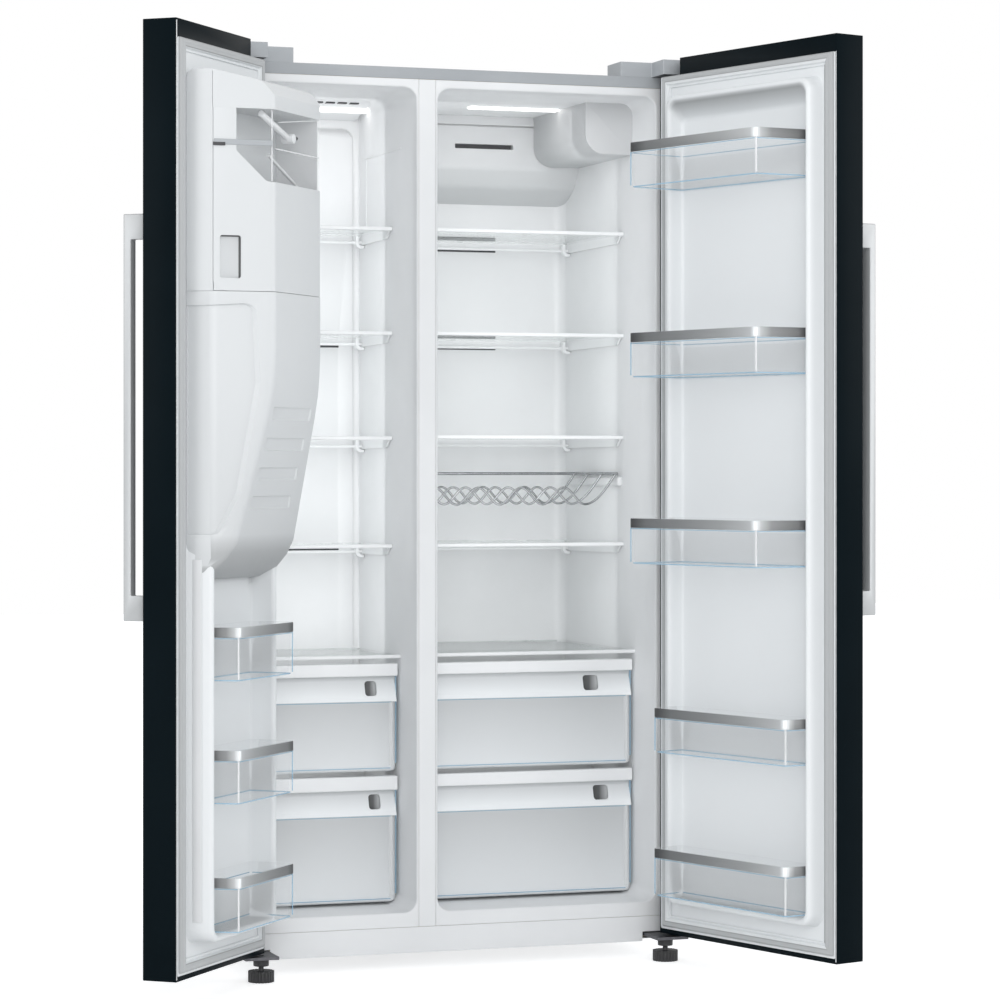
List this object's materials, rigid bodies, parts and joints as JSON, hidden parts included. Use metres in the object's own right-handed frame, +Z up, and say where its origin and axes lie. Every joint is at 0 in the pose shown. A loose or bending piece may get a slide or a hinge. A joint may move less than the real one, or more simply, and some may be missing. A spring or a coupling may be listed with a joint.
{
  "type": "side by side refrigerator",
  "caption": "Tall two-door refrigerator standing open: freezer with an ice maker in its door on the left, fridge on the right, with glass shelves, clear drawers and door bins.",
  "frame": {"origin": "on the floor, under the middle of the cabinet box", "axes": "+Z up, +Y to the back of the cabinet, +X to the right seen from the front"},
  "size_m": [1.3911, 1.1506, 1.786],
  "materials": {
    "door_black": "satin",
    "cabinet_grey": "satin",
    "plain_steel": "satin",
    "dark_steel": "satin",
    "liner_white": "satin",
    "trim_white": "satin",
    "foam": "matte",
    "cover_grey": "matte",
    "gasket_grey": "matte",
    "clear_bin": "clear",
    "shelf_glass": "polished",
    "handle_steel": "brushed",
    "niche_black": "gloss",
    "dark_plastic": "matte",
    "foot_black": "matte",
    "light_lens": "frosted",
    "coil_alu": "satin",
    "compressor_black": "satin",
    "rack_chrome": "polished",
    "valve_white": "matte"
  },
  "bodies": {
    "cabinet": {"cabinet_wrapper": "cabinet_grey", "back_panel": "plain_steel", "base_plate": "plain_steel", "insulation_foam": "foam", "freezer_liner": "liner_white", "fridge_liner": "liner_white", "mullion_strip": "trim_white", "kick_plate": "trim_white", "evaporator_cover": "liner_white", "evaporator_coil": "coil_alu", "fridge_air_duct": "liner_white", "water_filter_housing": "trim_white", "compartment_lights": "light_lens", "drawer_covers": "shelf_glass", "bottle_rack": "rack_chrome", "compressor": "compressor_black", "condenser_coil": "dark_steel", "water_valve": "valve_white", "top_hinges": "dark_steel", "hinge_covers": "cover_grey", "bottom_hinges": "dark_steel", "freezer_shelf_1": "shelf_glass", "freezer_shelf_2": "shelf_glass", "freezer_shelf_3": "shelf_glass", "freezer_shelf_4": "shelf_glass", "fridge_shelf_1": "shelf_glass", "fridge_shelf_2": "shelf_glass", "fridge_shelf_3": "shelf_glass", "fridge_shelf_4": "shelf_glass"},
    "freezer_door": {"freezer_door_shell": "door_black", "freezer_door_liner": "liner_white", "freezer_door_gasket": "gasket_grey", "freezer_door_handle": "handle_steel", "ice_housing": "trim_white", "chute_housing": "trim_white", "dispenser_niche": "niche_black"},
    "fridge_door": {"fridge_door_shell": "door_black", "fridge_door_liner": "liner_white", "fridge_door_gasket": "gasket_grey", "fridge_door_handle": "handle_steel"},
    "freezer_drawer_upper": {"freezer_drawer_upper": "clear_bin"},
    "freezer_drawer_lower": {"freezer_drawer_lower": "clear_bin"},
    "fridge_drawer_upper": {"fridge_drawer_upper": "clear_bin"},
    "fridge_drawer_lower": {"fridge_drawer_lower": "clear_bin"},
    "ice_bucket": {"ice_bucket": "trim_white"},
    "ice_auger": {"ice_auger": "handle_steel"},
    "dispenser_paddle": {"dispenser_paddle": "dark_plastic"},
    "ice_flap": {"ice_flap": "dark_plastic"},
    "evaporator_fan": {"evaporator_fan": "dark_plastic"},
    "left_front_foot": {"left_front_foot": "foot_black"},
    "right_front_foot": {"right_front_foot": "foot_black"},
    "rear_rollers": {"rear_rollers": "dark_plastic"},
    "freezer_bin_1": {"freezer_bin_1": "clear_bin"},
    "freezer_bin_2": {"freezer_bin_2": "clear_bin"},
    "freezer_bin_3": {"freezer_bin_3": "clear_bin"},
    "fridge_bin_1": {"fridge_bin_1": "clear_bin"},
    "fridge_bin_2": {"fridge_bin_2": "clear_bin"},
    "fridge_bin_3": {"fridge_bin_3": "clear_bin"},
    "fridge_bin_4": {"fridge_bin_4": "clear_bin"},
    "fridge_bin_5": {"fridge_bin_5": "clear_bin"}
  },
  "joints": [
    {"name": "freezer_door_hinge", "type": "hinge", "parent": "cabinet", "child": "freezer_door", "pos_m": [-0.44, -0.34, 0.9], "axis": [0, 0, -1], "range_deg": [-129.5, 10.5]},
    {"name": "fridge_door_hinge", "type": "hinge", "parent": "cabinet", "child": "fridge_door", "pos_m": [0.44, -0.34, 0.9], "axis": [0, 0, 1], "range_deg": [-107, 33]},
    {"name": "freezer_drawer_upper_slide", "type": "slide", "parent": "cabinet", "child": "freezer_drawer_upper", "axis": [0, -1, 0], "range_m": [0, 0.185]},
    {"name": "freezer_drawer_lower_slide", "type": "slide", "parent": "cabinet", "child": "freezer_drawer_lower", "axis": [0, -1, 0], "range_m": [0, 0.185]},
    {"name": "fridge_drawer_upper_slide", "type": "slide", "parent": "cabinet", "child": "fridge_drawer_upper", "axis": [0, -1, 0], "range_m": [0, 0.145]},
    {"name": "fridge_drawer_lower_slide", "type": "slide", "parent": "cabinet", "child": "fridge_drawer_lower", "axis": [0, -1, 0], "range_m": [0, 0.145]},
    {"name": "freezer_bin_1_lift", "type": "slide", "parent": "freezer_door", "child": "freezer_bin_1", "axis": [0, 0, 1], "range_m": [0, 0.03]},
    {"name": "freezer_bin_2_lift", "type": "slide", "parent": "freezer_door", "child": "freezer_bin_2", "axis": [0, 0, 1], "range_m": [0, 0.03]},
    {"name": "freezer_bin_3_lift", "type": "slide", "parent": "freezer_door", "child": "freezer_bin_3", "axis": [0, 0, 1], "range_m": [0, 0.03]},
    {"name": "fridge_bin_1_lift", "type": "slide", "parent": "fridge_door", "child": "fridge_bin_1", "axis": [0, 0, 1], "range_m": [0, 0.03]},
    {"name": "fridge_bin_2_lift", "type": "slide", "parent": "fridge_door", "child": "fridge_bin_2", "axis": [0, 0, 1], "range_m": [0, 0.03]},
    {"name": "fridge_bin_3_lift", "type": "slide", "parent": "fridge_door", "child": "fridge_bin_3", "axis": [0, 0, 1], "range_m": [0, 0.03]},
    {"name": "fridge_bin_4_lift", "type": "slide", "parent": "fridge_door", "child": "fridge_bin_4", "axis": [0, 0, 1], "range_m": [0, 0.03]},
    {"name": "fridge_bin_5_lift", "type": "slide", "parent": "fridge_door", "child": "fridge_bin_5", "axis": [0, 0, 1], "range_m": [0, 0.03]},
    {"name": "ice_bucket_slide", "type": "slide", "parent": "freezer_door", "child": "ice_bucket", "axis": [0.7716, -0.6361, 0], "range_m": [0, 0.1]},
    {"name": "ice_auger_turn", "type": "hinge", "parent": "ice_bucket", "child": "ice_auger", "pos_m": [-0.46137, -0.53492, 1.345], "axis": [-0.6361, -0.7716, 0], "continuous": true},
    {"name": "paddle_push", "type": "hinge", "parent": "freezer_door", "child": "dispenser_paddle", "pos_m": [-0.50597, -0.51436, 1.144], "axis": [-0.6361, -0.7716, 0], "range_deg": [0, 10], "stiffness_Nm_per_rad": 0.4, "springref_deg": -2.86},
    {"name": "ice_flap_open", "type": "hinge", "parent": "freezer_door", "child": "ice_flap", "pos_m": [-0.49362, -0.52453, 1.184], "axis": [-0.6361, -0.7716, 0], "range_deg": [0, 35]},
    {"name": "evaporator_fan_spin", "type": "hinge", "parent": "cabinet", "child": "evaporator_fan", "pos_m": [-0.25, 0.127, 0.76], "axis": [0, 1, 0], "continuous": true},
    {"name": "left_foot_turn", "type": "hinge", "parent": "cabinet", "child": "left_front_foot", "pos_m": [-0.414, -0.346, 0], "axis": [0, 0, 1], "continuous": true},
    {"name": "right_foot_turn", "type": "hinge", "parent": "cabinet", "child": "right_front_foot", "pos_m": [0.414, -0.346, 0], "axis": [0, 0, 1], "continuous": true},
    {"name": "rear_rollers_roll", "type": "hinge", "parent": "cabinet", "child": "rear_rollers", "pos_m": [0, 0.255, 0.018], "axis": [1, 0, 0], "continuous": true}
  ],
  "couplings": [
    {"joint": "ice_flap_open", "follows": "paddle_push", "ratio": 3.5}
  ]
}
